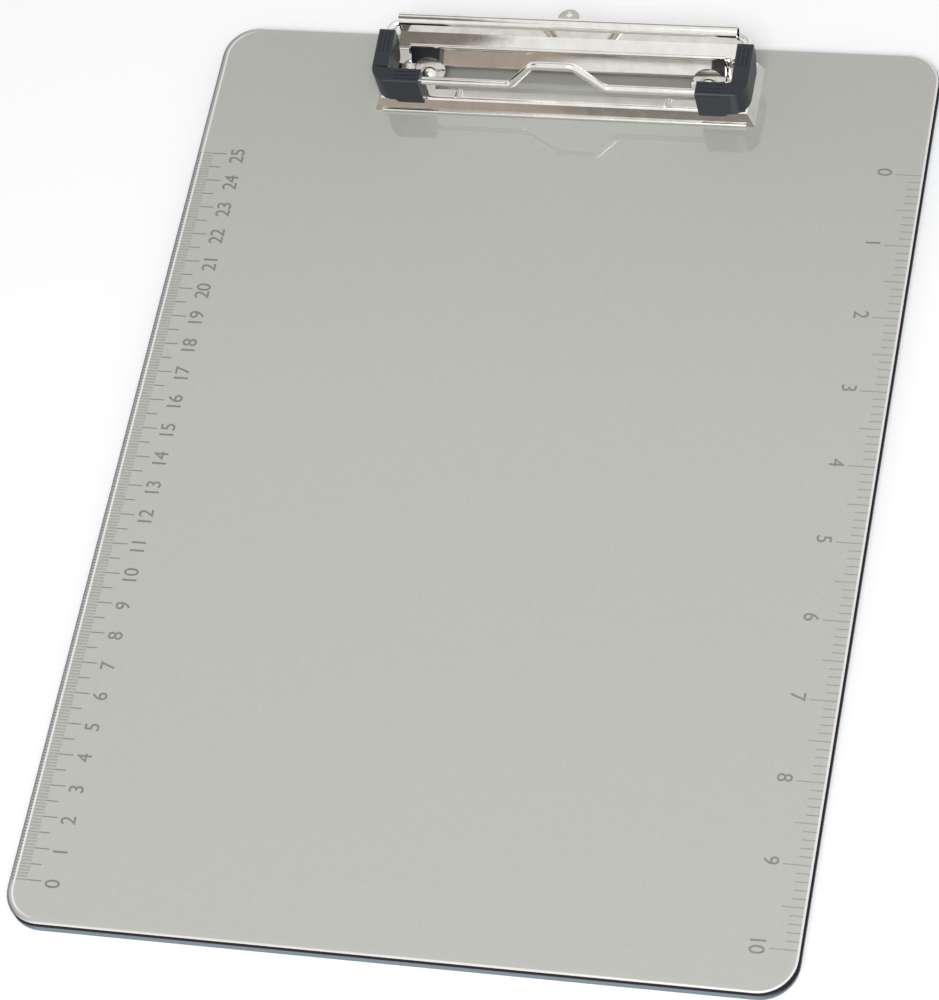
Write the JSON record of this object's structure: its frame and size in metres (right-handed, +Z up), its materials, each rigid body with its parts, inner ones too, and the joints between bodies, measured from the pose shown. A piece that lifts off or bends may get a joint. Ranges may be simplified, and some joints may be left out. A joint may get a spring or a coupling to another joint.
{
  "type": "clipboard",
  "caption": "Rectangular clear-grey clipboard with round corners; a sprung folded-metal lever on a hinge pin lifts a wire bail with moulded corner grips off a riveted base plate.",
  "frame": {"origin": "middle of the board's flat underside, which is also the bottom centre of the whole object's box", "axes": "+Z up out of the board's face, +Y along the board's length towards the clip, +X across the width to the right seen from above with the clip at the top"},
  "size_m": [0.228, 0.312, 0.0295],
  "materials": {
    "board": "glossy, translucent smoke grey",
    "plated_sheet": "bright nickel plate on pressed sheet steel",
    "wire": "bright nickel plate on drawn wire",
    "rivet": "bright nickel plate",
    "pin": "bright drawn steel",
    "spring": "bright spring wire",
    "grip": "satin black, moulded"
  },
  "bodies": {
    "board_and_base": {"board": "board", "base_plate": "plated_sheet", "left_rivet": "rivet", "right_rivet": "rivet", "hinge_pin": "pin", "left_spring": "spring", "right_spring": "spring"},
    "lever_and_bail": {"lever_plate": "plated_sheet", "wire_bail": "wire", "left_grip": "grip", "right_grip": "grip"}
  },
  "joints": [
    {"name": "clip_hinge", "type": "hinge", "parent": "board_and_base", "child": "lever_and_bail", "pos_m": [0, 0.1456, 0.0122], "axis": [-1, 0, 0], "range_deg": [0, 40], "stiffness_Nm_per_rad": 0.3, "springref_deg": -34.38, "deforming": ["left_spring", "right_spring"]}
  ]
}
